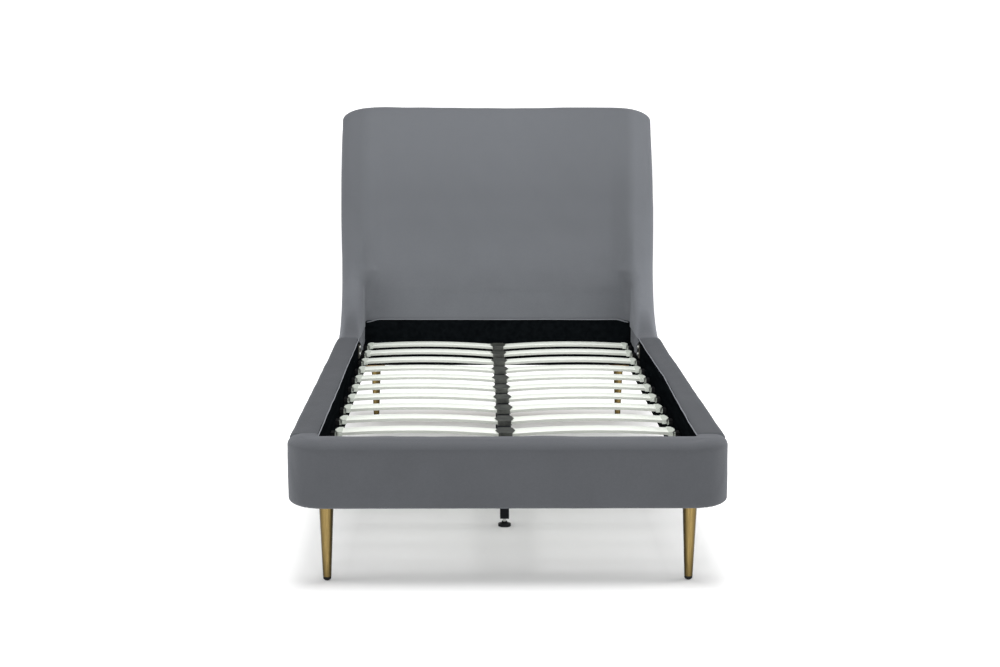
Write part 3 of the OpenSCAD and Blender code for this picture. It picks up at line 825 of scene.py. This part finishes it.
for side, sign in (("left", -1), ("right", 1)):
    y = np.linspace(Y_FOOT, Y_WING + 0.004, 120)
    x = sign * (rail_edge(sign, y) + 0.0010 + 0.0008 * unevenness(y, 0.2, 51 + sign))
    z = Z_BOARD + 0.0006 + 0.0009 * unevenness(y, 0.35, 55 + sign)
    dress(tube(f"side_rail_hem_{side}", x, y, z, BEAD), HEM_VELVET_PAINTED_HIGHLIGHT)

x = np.linspace(-X_IN + 0.004, X_IN - 0.004, 110)
z = Z_BOARD + 0.0006 + 0.0007 * unevenness(x, 0.3, 61)
dress(tube("foot_rail_hem", x, np.full_like(x, Y_FOOT - SHORT - 0.0010), z, BEAD), HEM_VELVET_PAINTED_HIGHLIGHT)

x = np.linspace(-X_IN + 0.006, X_IN - 0.006, 130)
dip = 0.011 * ramp(X_IN - np.abs(x), 0.055, 0.002)
z = Z_HEM + 0.0030 - dip + 0.0006 * unevenness(x, 0.25, 62)
dress(tube("headboard_hem", x, np.full_like(x, Y_HEAD - 0.0008), z, HEAD_BEAD), HEM_VELVET_PAINTED_HIGHLIGHT)


# ---------------------------------------------------------------- velvet turned down inside the wings
LINING_T = 0.0022
LINING_LOW = 0.312        # height of its lower edge
LINING_GRID = (90, 26)    # points along and down


def thick_sheet(name, front, back):
    """A closed sheet between two grids of points of the same shape."""
    rows, cols = front.shape[:2]
    count = rows * cols
    verts = np.vstack([front.reshape(-1, 3), back.reshape(-1, 3)])
    faces = []
    for i in range(rows - 1):
        for j in range(cols - 1):
            a, d = i * cols + j, (i + 1) * cols + j
            b, c = a + 1, d + 1
            faces += [(a, b, c, d), (count + d, count + c, count + b, count + a)]
    rim = [i * cols for i in range(rows)]
    rim += [(rows - 1) * cols + j for j in range(1, cols)]
    rim += [i * cols + cols - 1 for i in range(rows - 2, -1, -1)]
    rim += list(range(cols - 2, 0, -1))
    for a, b in zip(rim, rim[1:] + rim[:1]):
        faces.append((a, b, count + b, count + a))
    return make_mesh(name, verts, faces)


def wing_lining(side, sign, stop, rise):
    """Velvet over the board and the joint plate, up to stop, higher by that rise at the joint."""
    rows, cols = LINING_GRID
    y, down = np.meshgrid(np.linspace(Y_WING - 0.032, stop, rows), np.linspace(0, 1, cols),
                          indexing="ij")
    top = Z_BOARD + 0.001
    low = LINING_LOW + rise * ramp(y, Y_WING + 0.12, Y_WING - 0.03)
    low = low + 0.0012 * unevenness(y, 0.09, 71 + sign)
    z = top + (low - top) * down
    # it stands off over the joint plate and is tucked in along its top
    plate = 0.0070 * ramp(y, Y_WING + 0.11, Y_WING + 0.065) * ramp(down, 0.0, 0.4)
    over = 0.0010 + plate - 0.008 * ramp(down, 0.10, 0.0)
    folds = 0.0011 * unevenness(y + 0.15 * z, 0.035, 75 + sign) * ramp(down, 0.05, 0.5)
    folds *= ramp(y, stop - 0.01, stop - 0.07)
    front = np.stack([sign * (X_IN - over - np.abs(folds)), y, z], -1)
    back = front + np.array([sign * LINING_T, 0, 0])
    if sign > 0:
        front, back = front[::-1], back[::-1]
    return thick_sheet(f"wing_lining_{side}", front, back)


dress(wing_lining("left", -1, Y_HEAD - 0.04, 0.020), RAIL_VELVET_PAINTED_SHADE)
dress(wing_lining("right", 1, Y_HEAD - 0.05, 0.005), RAIL_VELVET_PAINTED_SHADE)


# ---------------------------------------------------------------- stage, lights and camera
FLOOR_R, BEND, RIM_TOP, SECTORS = 24.0, 1.2, 3.4, 72
FLOOR_GLOW = 0.78
WORLD_GLOW = 0.38
WHITE = (1.0, 1.0, 1.0)


def round_floor():
    """A round paper floor, turned up at its far rim."""
    rings = [(r, 0.0) for r in (1.5, 4.0, 10.0, FLOOR_R)]
    for a in np.radians(np.linspace(15, 90, 6)):
        rings.append((FLOOR_R + BEND * math.sin(a), BEND - BEND * math.cos(a)))
    rings.append((FLOOR_R + BEND, RIM_TOP))
    turns = np.arange(SECTORS) * 2 * math.pi / SECTORS
    verts = [(0.0, 0.0, 0.0)]
    for r, z in rings:
        verts += [(r * math.cos(a), r * math.sin(a), z) for a in turns]
    faces = [(0, 1 + k, 1 + (k + 1) % SECTORS) for k in range(SECTORS)]
    for first in range(1, 1 + (len(rings) - 1) * SECTORS, SECTORS):
        for k in range(SECTORS):
            a, b = first + k, first + (k + 1) % SECTORS
            faces.append((a, a + SECTORS, b + SECTORS, b))
    return make_mesh("floor", verts, faces, smooth=False)


def lit_paper():
    """Pale paper that also glows away from the bed, so that only the ground near it is shaded."""
    m = Nodes("pale_floor")
    beside = m.maths("SUBTRACT", m.maths("ABSOLUTE", m.place("X")), X_OUT)
    before = m.maths("SUBTRACT", m.maths("ABSOLUTE", m.place("Y")), Y_BACK + 0.05)
    away = m.levels(m.maths("MAXIMUM", beside, before), -0.15, 0.15, 0.0, FLOOR_GLOW)
    tone = m.mix(m.spread(m.noise(2.0, 2.0), 0.0, 1.0), (0.78, 0.78, 0.78), (0.80, 0.80, 0.80))
    return m.set(Base_Color=tone, Roughness=0.9, Specular_IOR_Level=0.1, Emission_Color=WHITE,
                 Emission_Strength=away)


floor = round_floor()
floor.data.materials.append(lit_paper())

scene = bpy.context.scene
scene.view_settings.view_transform = "Standard"
scene.view_settings.look = "None"
scene.world = bpy.data.worlds.new("studio")
scene.world.use_nodes = True
background = scene.world.node_tree.nodes["Background"]
background.inputs["Color"].default_value = (*WHITE, 1.0)
background.inputs["Strength"].default_value = WORLD_GLOW


def area_light(name, place, target, size, power):
    data = bpy.data.lights.new(name, "AREA")
    data.shape = "RECTANGLE"
    data.size, data.size_y = size
    data.energy = power
    light = bpy.data.objects.new(name, data)
    light.location = place
    light.rotation_euler = (Vector(target) - Vector(place)).to_track_quat("-Z", "Y").to_euler()
    light.visible_camera = False
    scene.collection.objects.link(light)


area_light("front_softbox", (-0.2, -6.4, 1.7), (0.0, 0.3, 0.7), (3.6, 2.2), 194)
area_light("right_softbox", (3.0, -0.2, 1.6), (0.0, 0.6, 0.7), (1.8, 2.0), 34)
area_light("left_softbox", (-3.0, -0.9, 1.6), (0.0, 0.7, 0.7), (1.8, 2.0), 20)
area_light("overhead", (0.0, -0.4, 3.6), (0.0, 0.0, 0.0), (2.2, 2.2), 80)

LENS, SENSOR = 60.48, 36.0    # in millimetres
CAMERA_X = -0.090
CAMERA_BEFORE = 4.180         # how far it stands before the foot rail
CAMERA_Z = 1.3296
TILT, PAN, TWIST = 9.095, -0.910, 0.141    # in degrees

data = bpy.data.cameras.new("camera")
data.sensor_width, data.lens = SENSOR, LENS
camera = bpy.data.objects.new("camera", data)
camera.location = (CAMERA_X, Y_FRONT - CAMERA_BEFORE, CAMERA_Z)
aim = Euler((math.radians(90 - TILT), 0, math.radians(PAN))).to_matrix()
aim = aim @ Matrix.Rotation(math.radians(TWIST), 3, "Z")
camera.rotation_euler = aim.to_euler()
scene.collection.objects.link(camera)
scene.camera = camera
